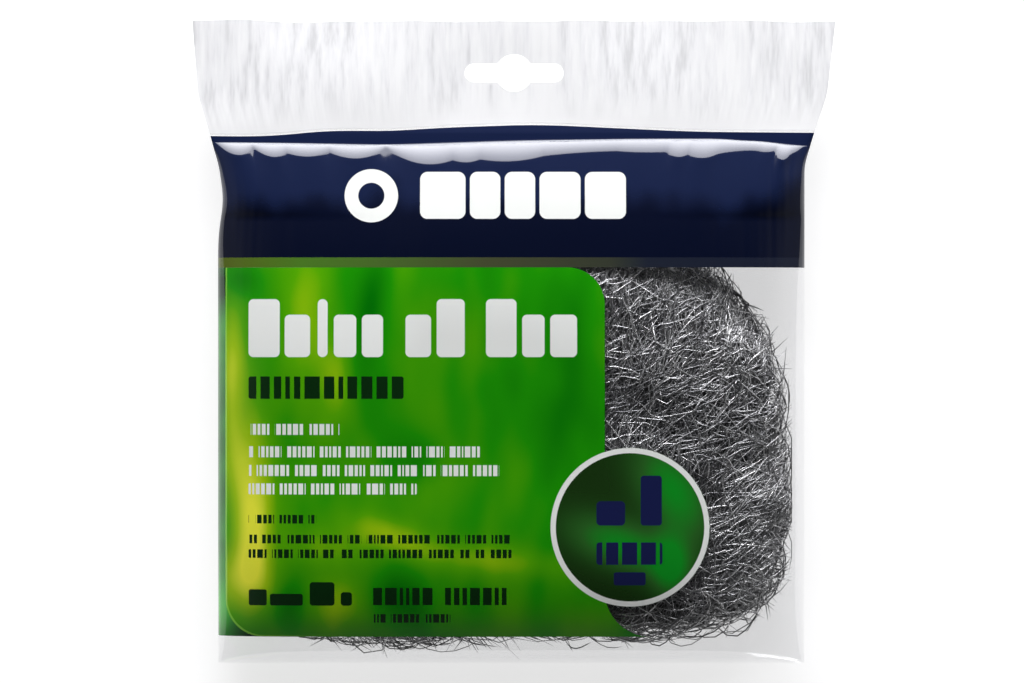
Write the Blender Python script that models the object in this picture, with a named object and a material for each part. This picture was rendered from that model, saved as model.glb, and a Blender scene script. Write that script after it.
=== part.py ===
"""A steel wool pad in its clear hanging bag, lying on its back.

Metres, +Z up. +X runs across the bag, +Y runs towards the header, and +Z points away from
the printed front. The origin is under the middle of the bag, on the surface it lies on.
"""
import math

import bpy
import numpy as np

MM = 0.001

# Bag: driving dimensions.
BAG_LENGTH = 207.8 * MM
HEADER_TOP_WIDTH = 208.2 * MM
HEADER_MIDDLE_WIDTH = 203.2 * MM
HEADER_FOOT_WIDTH = 195.2 * MM
BODY_WIDTH = 189.4 * MM
BODY_SHIFT = -0.9 * MM          # the filled body sits a little to the left of the header
HEADER_HEIGHT = 36.5 * MM
HEADER_FLARE_HEIGHT = 12.0 * MM  # above its foot, where the header has its middle width
SHOULDER_HEIGHT = 10.5 * MM     # where the sides widen from the body to the header's foot
BAG_THICKNESS = 26.0 * MM
FILM = 0.3 * MM                 # one web; the welded header is two webs thick
EDGE_WELD = 1.5 * MM            # width over which the two webs are one, all round the pocket
FOOT_EDGE_Z = 7.0 * MM          # heights of the bag's edge above the surface it lies on
SIDE_EDGE_Z = 10.0 * MM
SEAL_EDGE_Z = 11.0 * MM
HEADER_EDGE_Z = 6.0 * MM
FOOT_RISE = 40.0 * MM           # length over which the edge rises from foot to side height
CROWN_POWER = 6.0               # how flat the bag's faces are between their rounded edges
BASE_FLATNESS = 1.3             # above 1, the back lies flat where the bag is full

# Hanging slot, in the standard form of a round hole with an arm at each side.
SLOT_WIDTH = 32.0 * MM
SLOT_ARM_HEIGHT = 6.1 * MM
SLOT_HOLE_RADIUS = 6.1 * MM
SLOT_CENTRE_Y = 86.8 * MM
SLOT_ARC_STEPS = 8

# Back seam: the film's two long edges meet behind the pad.
SEAM_GAP = 0.3 * MM
SEAM_LENGTH = 120.0 * MM

# Pad: driving dimensions.
PAD_WIDTH = 176.6 * MM
PAD_LENGTH = 141.0 * MM
PAD_CENTRE_X = -0.7 * MM
PAD_CENTRE_Y = -26.5 * MM
PAD_TOP_Z = 25.0 * MM
PAD_BASE_Z = 0.7 * MM
PAD_EDGE_Z = 11.0 * MM
PAD_CROWN_POWER = 5.0
PAD_TOP_CORNERS = 2.0           # outline exponents: 2 is elliptical, higher is squarer
PAD_FOOT_CORNERS = 5.0

# Mesh fineness.
BODY_COLUMNS = 20
BODY_ROWS = 20
HEADER_ROWS = 6
PAD_SPOKES = 48
PAD_RINGS = 10

BAG_FOOT_Y = -BAG_LENGTH / 2
BAG_TOP_Y = BAG_LENGTH / 2
SEAL_Y = BAG_TOP_Y - HEADER_HEIGHT


def clear_scene():
    for obj in list(bpy.data.objects):
        bpy.data.objects.remove(obj, do_unlink=True)


def make_material(name, colour, roughness, metallic=0.0, alpha=1.0):
    material = bpy.data.materials.new(name)
    material.use_nodes = True
    shader = material.node_tree.nodes["Principled BSDF"]
    shader.inputs["Base Color"].default_value = (*colour, 1.0)
    shader.inputs["Roughness"].default_value = roughness
    shader.inputs["Metallic"].default_value = metallic
    shader.inputs["Alpha"].default_value = alpha
    return material


def add_mesh(name, vertices, faces, material=None):
    mesh = bpy.data.meshes.new(name)
    mesh.from_pydata([tuple(point) for point in vertices], [], faces)
    mesh.validate()
    obj = bpy.data.objects.new(name, mesh)
    bpy.context.collection.objects.link(obj)
    if material is not None:
        mesh.materials.append(material)
    return obj


def cut(target, cutter):
    """Take the cutter's shape out of the target and leave the cutter as a hidden guide."""
    cutter.hide_render = True
    cutter.display_type = 'WIRE'
    difference = target.modifiers.new("cut_" + cutter.name, 'BOOLEAN')
    difference.operation = 'DIFFERENCE'
    difference.solver = 'EXACT'
    difference.object = cutter


def eased(count):
    """Positions from -1 to 1, close together at both ends, where the film turns over."""
    return np.sin(np.linspace(-math.pi / 2, math.pi / 2, count + 1))


def half_width(y):
    """Half the bag's width: straight body, short shoulder, then a header that flares."""
    heights = [BAG_FOOT_Y, SEAL_Y - SHOULDER_HEIGHT, SEAL_Y, SEAL_Y + HEADER_FLARE_HEIGHT, BAG_TOP_Y]
    widths = [BODY_WIDTH, BODY_WIDTH, HEADER_FOOT_WIDTH, HEADER_MIDDLE_WIDTH, HEADER_TOP_WIDTH]
    return np.interp(y, heights, widths) / 2


def centre_line(y):
    """Sideways place of the bag's middle: shifted in the body, true in the header."""
    return np.interp(y, [SEAL_Y - SHOULDER_HEIGHT, BAG_TOP_Y], [BODY_SHIFT, 0.0])


def edge_height(y):
    """Height of the bag's edge, where its front and back webs meet."""
    lengths = [BAG_FOOT_Y, BAG_FOOT_Y + FOOT_RISE, SEAL_Y, BAG_TOP_Y]
    return np.interp(y, lengths, [FOOT_EDGE_Z, SIDE_EDGE_Z, SEAL_EDGE_Z, HEADER_EDGE_Z])


def crown(across, along):
    """Fullness of the bag, 1 over its middle and 0 at its edges, as a squared-off dome."""
    side = np.clip(1 - np.abs(across) ** CROWN_POWER, 0, 1)
    end = np.clip(1 - np.abs(along) ** CROWN_POWER, 0, 1)
    return np.sqrt(side * end)


def web_heights(y, fullness):
    """Outer faces of the front and back webs for a fullness from 0 to 1."""
    middle = edge_height(y)
    front = middle + FILM + (BAG_THICKNESS - FILM - middle) * fullness
    back = np.maximum(0.0, (middle - FILM) * (1 - BASE_FLATNESS * fullness))
    return front, back


def slab(name, x, y, front, back, material=None):
    """A closed solid between two height grids that share one plan grid."""
    rows, columns = x.shape
    top = np.stack([x, y, front], axis=-1).reshape(-1, 3)
    bottom = np.stack([x, y, back], axis=-1).reshape(-1, 3)
    under = rows * columns
    index = np.arange(under).reshape(rows, columns)
    corners = [index[:-1, :-1], index[:-1, 1:], index[1:, 1:], index[1:, :-1]]
    quads = np.stack(corners, axis=-1).reshape(-1, 4)
    faces = quads.tolist() + (quads[:, ::-1] + under).tolist()
    border = np.concatenate([index[0, :-1], index[:-1, -1], index[-1, :0:-1], index[:0:-1, 0]])
    following = np.roll(border, -1)
    walls = np.stack([border + under, following + under, following, border], axis=-1)
    return add_mesh(name, np.concatenate([top, bottom]), faces + walls.tolist(), material)


def bag_outside(material):
    """The bag's outer form: the filled body and the flat header above its seal."""
    body_centre = (BAG_FOOT_Y + SEAL_Y) / 2
    body_half = (SEAL_Y - BAG_FOOT_Y) / 2
    body_rows = body_centre + body_half * eased(BODY_ROWS)
    header_rows = np.linspace(SEAL_Y, BAG_TOP_Y, HEADER_ROWS + 1)[1:]
    along, across = np.meshgrid(np.concatenate([body_rows, header_rows]),
                                eased(BODY_COLUMNS), indexing='ij')
    x = centre_line(along) + across * half_width(along)
    fullness = crown(across, (along - body_centre) / body_half)
    front, back = web_heights(along, fullness)
    return slab("bag", x, along, front, back, material)


def bag_pocket():
    """The hollow that holds the pad: the outer form, one web further in."""
    foot = BAG_FOOT_Y + EDGE_WELD
    head = SEAL_Y - EDGE_WELD
    half = (head - foot) / 2
    along, across = np.meshgrid((foot + head) / 2 + half * eased(BODY_ROWS),
                                eased(BODY_COLUMNS), indexing='ij')
    x = centre_line(along) + across * (half_width(along) - EDGE_WELD)
    fullness = crown(across, (along - (foot + head) / 2) / half)
    front, back = web_heights(along, fullness)
    rows, columns = x.shape
    top = np.stack([x, along, front - FILM], axis=-1).reshape(-1, 3)
    bottom = np.stack([x, along, back + FILM], axis=-1).reshape(-1, 3)
    index = np.arange(rows * columns).reshape(rows, columns)
    inner = np.zeros((rows, columns), dtype=bool)
    inner[1:-1, 1:-1] = True
    lower = index.copy()
    lower[inner] = rows * columns + np.arange(int(inner.sum()))
    faces = []
    for grid, flipped in ((index, False), (lower, True)):
        corners = [grid[:-1, :-1], grid[:-1, 1:], grid[1:, 1:], grid[1:, :-1]]
        quads = np.stack(corners, axis=-1).reshape(-1, 4)
        faces += (quads[:, ::-1] if flipped else quads).tolist()
    vertices = np.concatenate([top, bottom[inner.reshape(-1)]])
    return add_mesh("pocket_cutter", vertices, faces)


def slot_outline():
    """The hanging slot's outline, anticlockwise: two round-ended arms and a round hole."""
    arm = SLOT_ARM_HEIGHT / 2
    reach = SLOT_WIDTH / 2 - arm
    meet = math.asin(arm / SLOT_HOLE_RADIUS)
    points = []

    def arc(centre_x, radius, start, end):
        for angle in np.linspace(start, end, SLOT_ARC_STEPS + 1):
            points.append((centre_x + radius * math.cos(angle), radius * math.sin(angle)))

    arc(reach, arm, -math.pi / 2, math.pi / 2)
    arc(0.0, SLOT_HOLE_RADIUS, meet, math.pi - meet)
    arc(-reach, arm, math.pi / 2, math.pi * 3 / 2)
    arc(0.0, SLOT_HOLE_RADIUS, math.pi + meet, 2 * math.pi - meet)
    return points


def slot_cutter():
    outline = slot_outline()
    count = len(outline)
    heights = (0.0, BAG_THICKNESS)
    vertices = [(x, SLOT_CENTRE_Y + y, z) for z in heights for x, y in outline]
    faces = [list(range(count))[::-1], list(range(count, 2 * count))]
    for here in range(count):
        after = (here + 1) % count
        faces.append([here, after, count + after, count + here])
    return add_mesh("slot_cutter", vertices, faces)


def seam_cutter():
    """A thin blade that parts the back web along the line where its two edges meet."""
    middle = (BAG_FOOT_Y + SEAL_Y) / 2
    x = np.array([[-1, 1], [-1, 1]]) * SEAM_GAP / 2 + BODY_SHIFT
    y = np.array([[-1, -1], [1, 1]]) * SEAM_LENGTH / 2 + middle
    return slab("seam_cutter", x, y, np.full_like(x, 2 * FILM), np.full_like(x, -FILM))


def make_bag():
    film = make_material("clear_printed_film", (0.02, 0.24, 0.01), 0.25, alpha=0.9)
    bag = bag_outside(film)
    cut(bag, bag_pocket())
    cut(bag, slot_cutter())
    cut(bag, seam_cutter())
    return bag


def rounded_power(value, exponent):
    return np.sign(value) * np.abs(value) ** (2 / exponent)


def make_pad():
    """The pad as a pillow: rings shrink from its outline to a pole on each face."""
    angle = np.linspace(0, 2 * math.pi, PAD_SPOKES, endpoint=False)
    exponent = np.where(np.sin(angle) > 0, PAD_TOP_CORNERS, PAD_FOOT_CORNERS)
    outline_x = rounded_power(np.cos(angle), exponent) * PAD_WIDTH / 2
    outline_y = rounded_power(np.sin(angle), exponent) * PAD_LENGTH / 2
    radius = np.sin(np.linspace(0, math.pi / 2, PAD_RINGS + 1))[1:]
    fullness = np.sqrt(np.clip(1 - radius ** PAD_CROWN_POWER, 0, 1))
    front = PAD_EDGE_Z + (PAD_TOP_Z - PAD_EDGE_Z) * fullness
    back = np.maximum(PAD_BASE_Z, PAD_EDGE_Z * (1 - BASE_FLATNESS * fullness))
    heights = np.concatenate([front, back[-2::-1]])
    radii = np.concatenate([radius, radius[-2::-1]])
    ring_x = PAD_CENTRE_X + radii[:, None] * outline_x
    ring_y = PAD_CENTRE_Y + radii[:, None] * outline_y
    ring_z = np.broadcast_to(heights[:, None], ring_x.shape)
    rings = np.stack([ring_x, ring_y, ring_z], axis=-1).reshape(-1, 3)
    poles = [(PAD_CENTRE_X, PAD_CENTRE_Y, PAD_TOP_Z), (PAD_CENTRE_X, PAD_CENTRE_Y, PAD_BASE_Z)]
    index = np.arange(len(rings)).reshape(len(radii), PAD_SPOKES)
    after = np.roll(index, -1, axis=1)
    sides = np.stack([index[:-1], index[1:], after[1:], after[:-1]], axis=-1).reshape(-1, 4)
    top_pole, base_pole = len(rings), len(rings) + 1
    faces = sides.tolist()
    faces += [[top_pole, a, b] for a, b in zip(index[0].tolist(), after[0].tolist())]
    faces += [[base_pole, b, a] for a, b in zip(index[-1].tolist(), after[-1].tolist())]
    steel = make_material("steel_wool", (0.3, 0.3, 0.3), 0.4, metallic=1.0)
    return add_mesh("steel_wool_pad", np.concatenate([rings, poles]), faces, steel)


def main():
    clear_scene()
    make_bag()
    make_pad()


main()
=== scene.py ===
# %% [markdown]
# # A steel wool pad in its hanging bag
#
# The object is one pad of coarse steel wool, sealed in a clear film bag that is printed in
# navy and green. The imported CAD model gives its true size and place. This lesson keeps that
# frame and builds what the eye sees around it: the film with its folds and print, the ribbed
# header, and thousands of bright steel strands.

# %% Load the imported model
import math

import bpy
import numpy as np
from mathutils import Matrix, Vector


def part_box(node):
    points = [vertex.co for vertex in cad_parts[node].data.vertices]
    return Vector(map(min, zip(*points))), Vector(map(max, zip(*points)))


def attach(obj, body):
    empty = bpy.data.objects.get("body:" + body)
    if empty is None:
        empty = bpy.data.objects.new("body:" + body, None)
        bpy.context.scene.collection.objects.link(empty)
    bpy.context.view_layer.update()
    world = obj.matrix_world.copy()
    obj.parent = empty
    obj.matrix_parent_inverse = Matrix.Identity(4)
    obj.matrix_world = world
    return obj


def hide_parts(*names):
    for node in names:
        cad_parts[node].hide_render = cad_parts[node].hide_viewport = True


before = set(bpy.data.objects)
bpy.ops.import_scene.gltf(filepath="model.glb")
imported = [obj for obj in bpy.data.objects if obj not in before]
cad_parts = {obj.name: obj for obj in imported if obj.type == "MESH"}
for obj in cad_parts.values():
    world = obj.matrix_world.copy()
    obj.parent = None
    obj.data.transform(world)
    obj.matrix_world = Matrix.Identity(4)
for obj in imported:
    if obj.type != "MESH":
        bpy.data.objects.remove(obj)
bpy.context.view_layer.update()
bag_low, bag_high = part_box("bag")
pad_low, pad_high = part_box("steel_wool_pad")
print("bag box, mm:", [round(size * 1000, 1) for size in bag_high - bag_low])
print("pad box, mm:", [round(size * 1000, 1) for size in pad_high - pad_low])

# %% [markdown]
# ## From arrays to a piece
#
# Every new shape here is an array of points, worked out all at once. One helper turns points
# and faces into a mesh. `foreach_set` copies a whole array in one step, which is far quicker
# than adding vertices one by one, and that matters with half a million of them.

# %% Mesh helpers
MM = 0.001


def new_piece(name, points, faces, material):
    """Put an array of points and an array of equal-sided faces into a smooth mesh object."""
    faces = np.asarray(faces, np.int32)
    mesh = bpy.data.meshes.new(name)
    mesh.vertices.add(len(points))
    mesh.vertices.foreach_set("co", np.ascontiguousarray(points, np.float32).ravel())
    mesh.loops.add(faces.size)
    mesh.loops.foreach_set("vertex_index", faces.ravel())
    mesh.polygons.add(len(faces))
    starts = np.arange(len(faces), dtype=np.int32) * faces.shape[1]
    mesh.polygons.foreach_set("loop_start", starts)
    mesh.update(calc_edges=True)
    mesh.polygons.foreach_set("use_smooth", np.ones(len(faces), bool))
    mesh.materials.append(material)
    piece = bpy.data.objects.new(name, mesh)
    bpy.context.scene.collection.objects.link(piece)
    return piece


def grid_faces(rows, columns):
    """Quads over a grid of points, anticlockwise seen from the side +u x +v points to."""
    index = np.arange(rows * columns).reshape(rows, columns)
    corners = [index[:-1, :-1], index[:-1, 1:], index[1:, 1:], index[1:, :-1]]
    return np.stack(corners, axis=-1).reshape(-1, 4)


def triangle_count(piece):
    shown = piece.evaluated_get(bpy.context.evaluated_depsgraph_get()).to_mesh()
    return sum(len(face.vertices) - 2 for face in shown.polygons)


# %% [markdown]
# ## The bag's plan
#
# The real bag is one folded web of thin film. Its filled body is straight-sided, and above the
# seal the header spreads wider, because nothing fills it. The sizes below repeat the CAD part's
# own. The plan could be a plain rectangle, but film never stays so true: the seal runs in a
# slow wave, and the left side is drawn in beside the printed band.

# %% Plan of the bag
FOOT_Y = bag_low.y
TOP_Y = bag_high.y
BAG_THICKNESS = bag_high.z
HEADER_HEIGHT = 36.5 * MM
SEAL_Y = TOP_Y - HEADER_HEIGHT
BODY_HALF = 94.7 * MM
BODY_SHIFT = -0.9 * MM
SHOULDER_HEIGHT = 10.5 * MM
SEAL_HALF = 97.6 * MM
HEADER_MIDDLE_HALF = 101.6 * MM
HEADER_TOP_HALF = bag_high.x
HEADER_FLARE_HEIGHT = 12.0 * MM


def smooth_curve(where, places, values):
    """A soft curve near a few given points: straight runs, averaged over a sliding window."""
    span = (places[-1] - places[0]) / (len(places) - 1)
    window = np.linspace(-0.4, 0.4, 9) * span
    return np.mean([np.interp(where + shift, places, values) for shift in window], axis=0)


def seal_line(x):
    """Height along +Y of the wavy seal, which is also the printed band's upper edge."""
    places = np.array([-98, -80, -56, -42, -24, 8, 44, 60, 98]) * MM
    rises = np.array([-1.0, -1.3, 1.0, 0.3, 1.6, 2.7, 1.0, 0.3, 0.0]) * MM
    return SEAL_Y + smooth_curve(x, places, rises)


def half_width(y):
    """Half the bag's width at each height: body, shoulder, then the header's curved flare."""
    places = np.array([FOOT_Y, SEAL_Y - SHOULDER_HEIGHT, SEAL_Y,
                       SEAL_Y + HEADER_FLARE_HEIGHT, TOP_Y])
    halves = np.array([BODY_HALF, BODY_HALF, SEAL_HALF, HEADER_MIDDLE_HALF, HEADER_TOP_HALF])
    window = np.linspace(-2.5, 2.5, 7) * MM
    return np.mean([np.interp(y + shift, places, halves) for shift in window], axis=0)


def centre_line(y):
    """Sideways place of the bag's middle: a little left in the body, true at the top."""
    return np.interp(y, [SEAL_Y - SHOULDER_HEIGHT, TOP_Y], [BODY_SHIFT, 0.0])


def left_draw(y):
    """How far the left side is pulled in beside the printed band: one soft bump and a nick."""
    return 1.5 * MM * np.exp(-((y - 46 * MM) / (9 * MM)) ** 2)


def plan(across, y):
    """x for a place across the bag, from -1 at its left side to 1 at its right side."""
    drawn_in = left_draw(y) * np.clip(-across, 0, 1) ** 4
    return centre_line(y) + across * half_width(y) + drawn_in


print("seal wave, mm:", np.round(seal_line(np.linspace(-0.09, 0.09, 7)) * 1000, 1))

# %% [markdown]
# ## Lines across the front
#
# Just below the seal the front web keeps the flatness of the weld, then breaks at a crease and
# drops steeply. That steep facet is what catches the light as one long bright bar. Its lower
# edge hangs in scallops between tucks, where the flat web has more width than it can use. The
# crease and the scallops are drawn as two lines, so the folds can follow them exactly.

# %% Crease and scallops
TUCKS = np.array([-94.4, -82.7, -72.4, -58.5, -40.1, -19.1, -10.0, 10.0, 34.3, 50.0, 56.9, 65.9,
                  79.5, 84.7, 90.0, 93.6]) * MM
TUCK_DEPTHS = np.array([0.0, 1.4, 3.1, 2.5, 0.9, 5.4, 5.6, 5.2, 3.9, 4.2, 5.1, 5.2,
                        3.1, 2.4, 3.0, 0.0]) * MM
BELLIES = np.array([3.5, 2.4, 1.6, 3.0, 3.4, 1.2, 1.4, -0.3, 0.4, 1.4, 1.3, -0.6,
                    0.5, 2.6, 0.4, 0.0]) * MM


def crease_line(x):
    """Height of the crease along +Y: nearly straight, with a droop by the right corner."""
    places = np.array([-96, -69, -40, 2, 41, 73, 81, 87, 96]) * MM
    heights = np.array([64.3, 64.0, 63.4, 64.8, 65.4, 65.4, 63.8, 64.5, 62.4]) * MM
    return smooth_curve(x, places, heights)


def facet_depth(x):
    """Depth of the bright facet: tuck depths joined straight, plus a sine arch in each belly."""
    inside = np.clip(x, TUCKS[0], TUCKS[-1] - 1e-6)
    index = np.searchsorted(TUCKS, inside, side='right') - 1
    span = TUCKS[index + 1] - TUCKS[index]
    share = np.clip((inside - TUCKS[index]) / span, 0, 1)
    return np.interp(x, TUCKS, TUCK_DEPTHS) + BELLIES[index] * np.sin(share * math.pi) ** 0.75


print("facet depth, mm:", np.round(facet_depth(np.linspace(-0.09, 0.09, 7)) * 1000, 1))

# %% [markdown]
# ## The web's height
#
# Laid on its back, the bag is a pillow: flat where the pad fills it, and rounded down to its
# edges. A squared-off dome gives that, and it is the CAD part's own formula. The front web
# climbs from the seal in three stretches: level to the crease, steep over the facet, then
# easing up to the dome. Real film adds pleats that start at the welded edges and die away over
# the full part. They are sums of narrow ridges whose depth fades with distance from the edge.
# A cloth simulation could fold the film too, but it would not put the bright facet in its
# place, and that facet is what says "film" at a glance.

# %% Height of the front and back webs
CROWN_POWER = 6.0
SEAL_CROWN_POWER = 40.0
BASE_FLATNESS = 1.3
LEVEL_SLOPE = 0.20
FACET_TOP_SLOPE = 0.92
FACET_FOOT_SLOPE = 0.50
SHOULDER_SLOPE = 0.33
EDGE_PLACES = np.array([FOOT_Y, FOOT_Y + 40 * MM, SEAL_Y, TOP_Y])
EDGE_HEIGHTS = np.array([7.0, 10.0, 11.0, 6.0]) * MM


def edge_height(y):
    """Height of the bag's edge above the surface it lies on."""
    return np.interp(y, EDGE_PLACES, EDGE_HEIGHTS)


def crown(across, along):
    """Fullness from 0 at the edges to 1 over the pad: a squared-off dome."""
    side = np.clip(1 - np.abs(across) ** CROWN_POWER, 0, 1)
    end = np.clip(1 - np.abs(along) ** CROWN_POWER, 0, 1)
    return np.sqrt(side * end)


def ridges(where, pitch, seed):
    """Pleats across one direction: rounded ridges at uneven places, between about -1 and 1."""
    rng = np.random.default_rng(seed)
    count = int(0.22 / pitch)
    places = (np.arange(count) + rng.uniform(-0.35, 0.35, count)) * pitch - 0.11
    widths = pitch * rng.uniform(0.25, 0.6, count)
    depths = rng.uniform(-1, 1, count)
    away = np.abs(where[..., None] - places) / widths
    return (depths * np.exp(-away ** 1.5)).sum(axis=-1)


def swell(x, y, wavelength, seed, waves=9):
    """Gentle uneven waves: the mean of plane waves in random directions."""
    rng = np.random.default_rng(seed)
    total = np.zeros_like(x)
    for heading, stretch, phase in rng.uniform(0, 1, (waves, 3)):
        turn = heading * 2 * math.pi
        size = 2 * math.pi / (wavelength * (0.7 + 0.8 * stretch))
        total += np.sin((x * math.cos(turn) + y * math.sin(turn)) * size + phase * 6.3)
    return total / math.sqrt(waves)


def web_grid(columns, rows):
    """Places over the bag's body. The rows bunch up on the scallops, the crease and the seal."""
    across = np.linspace(-1, 1, columns)
    across = 0.75 * across + 0.25 * np.sin(across * math.pi / 2)
    seal = seal_line(across * SEAL_HALF)
    crease = np.minimum(crease_line(across * 96 * MM), seal - 1.5 * MM)
    scallop = crease - np.maximum(facet_depth(across * 95.5 * MM), 0.3 * MM)
    level = np.full(columns, 40 * MM)
    lines = np.stack([np.full(columns, FOOT_Y), np.full(columns, FOOT_Y + 8 * MM), level,
                      scallop, crease, seal])
    shares = np.array([0, 0.09, 0.70, 0.84, 0.94, 1.0])
    place = np.linspace(0, 1, rows)
    index = np.clip(np.searchsorted(shares, place, side='right') - 1, 0, len(shares) - 2)
    part = (place - shares[index]) / (shares[index + 1] - shares[index])
    y = lines[index] + (lines[index + 1] - lines[index]) * part[:, None]
    across = np.broadcast_to(across, y.shape)
    return across, plan(across, y), y


def along_body(across, y):
    """Place from -1 at the foot to 1 at the seal."""
    seal = seal_line(across * SEAL_HALF)
    return 2 * (y - FOOT_Y) / (seal - FOOT_Y) - 1


def climb_from_seal(across, y, full_rise):
    """Rise below the seal: level to the crease, steep over the facet, then easing to full."""
    seal = seal_line(across * SEAL_HALF)
    crease = np.minimum(crease_line(across * 96 * MM), seal - 1.5 * MM)
    depth = np.maximum(facet_depth(across * 95.5 * MM), 0.3 * MM)
    level = LEVEL_SLOPE * np.clip(seal - y, 0, seal - crease)
    part = np.clip((crease - y) / depth, 0, 1)
    bend = (FACET_TOP_SLOPE - FACET_FOOT_SLOPE) / 2
    facet = depth * (FACET_TOP_SLOPE * part - bend * part ** 2)
    below = np.clip(crease - depth - y, 0, None)
    smooth_depth = np.mean([facet_depth(across * 95.5 * MM + shift * MM)
                            for shift in range(-9, 10, 3)], axis=0)
    settled = (smooth_depth - depth) * bend * 2 * (1 - np.exp(-below / (7 * MM)))
    left = full_rise - level - facet - settled
    part = np.clip(below * SHOULDER_SLOPE / (2 * left), 0, 1)
    return level + facet + settled + left * (2 * part - part ** 2)


def pleats(across, along, x, y):
    """Depth of the film's folds: at the foot, down both sides, and faintly all over."""
    from_seal = (1 - along) / 2 * (SEAL_Y - FOOT_Y)
    from_foot = (1 + along) / 2 * (SEAL_Y - FOOT_Y)
    from_side = (1 - np.abs(across)) * BODY_HALF
    foot_rise = (from_foot / (4 * MM)) * np.exp(1 - from_foot / (4 * MM))
    side_rise = (from_side / (3 * MM)) * np.exp(1 - from_side / (3 * MM))
    side_rise = side_rise * np.clip(from_seal / (25 * MM), 0, 1)
    inside = np.clip(np.minimum(from_side, np.minimum(from_seal, from_foot)) / (30 * MM), 0, 1)
    inside = inside ** 2 * (3 - 2 * inside)
    folds = 0.18 * MM * ridges(x, 19 * MM, 5) * foot_rise
    folds += 0.12 * MM * ridges(y, 17 * MM, 6) * side_rise
    folds += 0.16 * MM * swell(x, y, 44 * MM, 7) * inside
    return folds


def front_height(across, x, y):
    """The front web: edge height, plus the lower of dome and climb, plus the folds."""
    middle = edge_height(y) + 0.1 * MM
    full_rise = BAG_THICKNESS - 0.5 * MM - middle
    along = along_body(across, y)
    near_seal = np.clip((y - 40 * MM) / (20 * MM), 0, 1)
    power = CROWN_POWER + (SEAL_CROWN_POWER - CROWN_POWER) * near_seal
    side = np.sqrt(np.clip(1 - np.abs(across) ** power, 0, 1))
    foot = np.sqrt(np.clip(1 - np.clip(-along, 0, 1) ** CROWN_POWER, 0, 1))
    climb = climb_from_seal(across, y, full_rise)
    return middle + climb * side * foot + pleats(across, along, x, y)


def back_height(across, x, y):
    """The back web: it sags from the edge until it lies flat under the pad."""
    middle = edge_height(y) - 0.1 * MM
    sag = middle * (1 - BASE_FLATNESS * crown(across, along_body(across, y)))
    return np.maximum(sag, 0.15 * MM)


# %% [markdown]
# ## Small tools for materials
#
# A print is maths on a place: is this point inside the bar, the disc or the band? Written as
# nodes that gets long, so these helpers add one node at a time and wire its inputs. Colours
# are given as the display shows them and turned into the linear values a shader needs.

# %% Node helpers
def shown(red, green, blue):
    """A colour as a screen shows it, 0 to 255, turned into linear light."""
    parts = np.array([red, green, blue]) / 255
    linear = np.where(parts <= 0.04045, parts / 12.92, ((parts + 0.055) / 1.055) ** 2.4)
    return (*linear.tolist(), 1.0)


def wire(tree, socket, value):
    """Feed a socket from another node's output, or set it to a plain value."""
    if isinstance(value, bpy.types.NodeSocket):
        tree.links.new(value, socket)
    elif value is not None:
        socket.default_value = value


def add_node(tree, kind, inputs=(), **settings):
    """A new node with its settings made and its inputs fed, by place or by name."""
    node = tree.nodes.new("ShaderNode" + kind)
    for name, value in settings.items():
        setattr(node, name, value)
    pairs = inputs.items() if isinstance(inputs, dict) else enumerate(inputs)
    for key, value in pairs:
        wire(tree, node.inputs[key], value)
    return node


def maths(tree, operation, *values):
    return add_node(tree, "Math", values, operation=operation).outputs[0]


def mixed(tree, share, first, second):
    """Colour first where share is 0, colour second where it is 1."""
    node = add_node(tree, "Mix", data_type='RGBA')
    wire(tree, node.inputs["Factor"], share)
    wire(tree, node.inputs["A"], first)
    wire(tree, node.inputs["B"], second)
    return node.outputs["Result"]


def ranged(tree, value, low, high, to_low=0.0, to_high=1.0, smooth=False):
    kind = 'SMOOTHSTEP' if smooth else 'LINEAR'
    node = add_node(tree, "MapRange", (value, low, high, to_low, to_high),
                    interpolation_type=kind)
    return node.outputs["Result"]


def ramp(tree, value, stops):
    """A colour ramp through (place, colour) stops."""
    node = add_node(tree, "ValToRGB", (value,))
    elements = node.color_ramp.elements
    while len(elements) < len(stops):
        elements.new(0.5)
    for element, (place, colour) in zip(elements, stops):
        element.position = place
        element.color = colour
    return node.outputs["Color"]


def noise(tree, vector, scale, detail=2.0, roughness=0.5, stretch=(1, 1, 1), turn=0.0):
    """Noise over a place, stretched and turned about Z by a Mapping node."""
    mapping = add_node(tree, "Mapping", {"Vector": vector, "Scale": stretch,
                                         "Rotation": (0, 0, turn)})
    node = add_node(tree, "TexNoise", {"Vector": mapping.outputs[0], "Scale": scale,
                                       "Detail": detail, "Roughness": roughness})
    return node.outputs["Fac"]


def new_group(name, inputs, outputs):
    """A shader node group with named sockets: (name, kind, starting value or None)."""
    group = bpy.data.node_groups.new(name, 'ShaderNodeTree')
    for label, kind, start in inputs:
        socket = group.interface.new_socket(label, in_out='INPUT', socket_type=kind)
        if start is not None:
            socket.default_value = start
    for label, kind in outputs:
        group.interface.new_socket(label, in_out='OUTPUT', socket_type=kind)
    return group, group.nodes.new("NodeGroupInput").outputs, group.nodes.new("NodeGroupOutput")


def use_group(tree, group, **values):
    node = tree.nodes.new("ShaderNodeGroup")
    node.node_tree = group
    for name, value in values.items():
        wire(tree, node.inputs[name.replace("_", " ")], value)
    return node.outputs


def new_material(name):
    """An empty node material and its output node."""
    material = bpy.data.materials.new(name)
    material.use_nodes = True
    material.node_tree.nodes.clear()
    output = material.node_tree.nodes.new("ShaderNodeOutputMaterial")
    return material, material.node_tree, output


FLOAT = 'NodeSocketFloat'
VECTOR = 'NodeSocketVector'
COLOUR = 'NodeSocketColor'

# %% [markdown]
# ## Print shapes
#
# Three groups draw everything on the label. A bar is a box with rounded corners: how far a
# point is from the box's core, less the corner radius, says whether it is inside. Words break
# a bar into uneven lengths, as lines of small print look from a distance. A glow is a soft
# tilted ellipse, for the out-of-focus colours behind the words. No letters are drawn.

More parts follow.
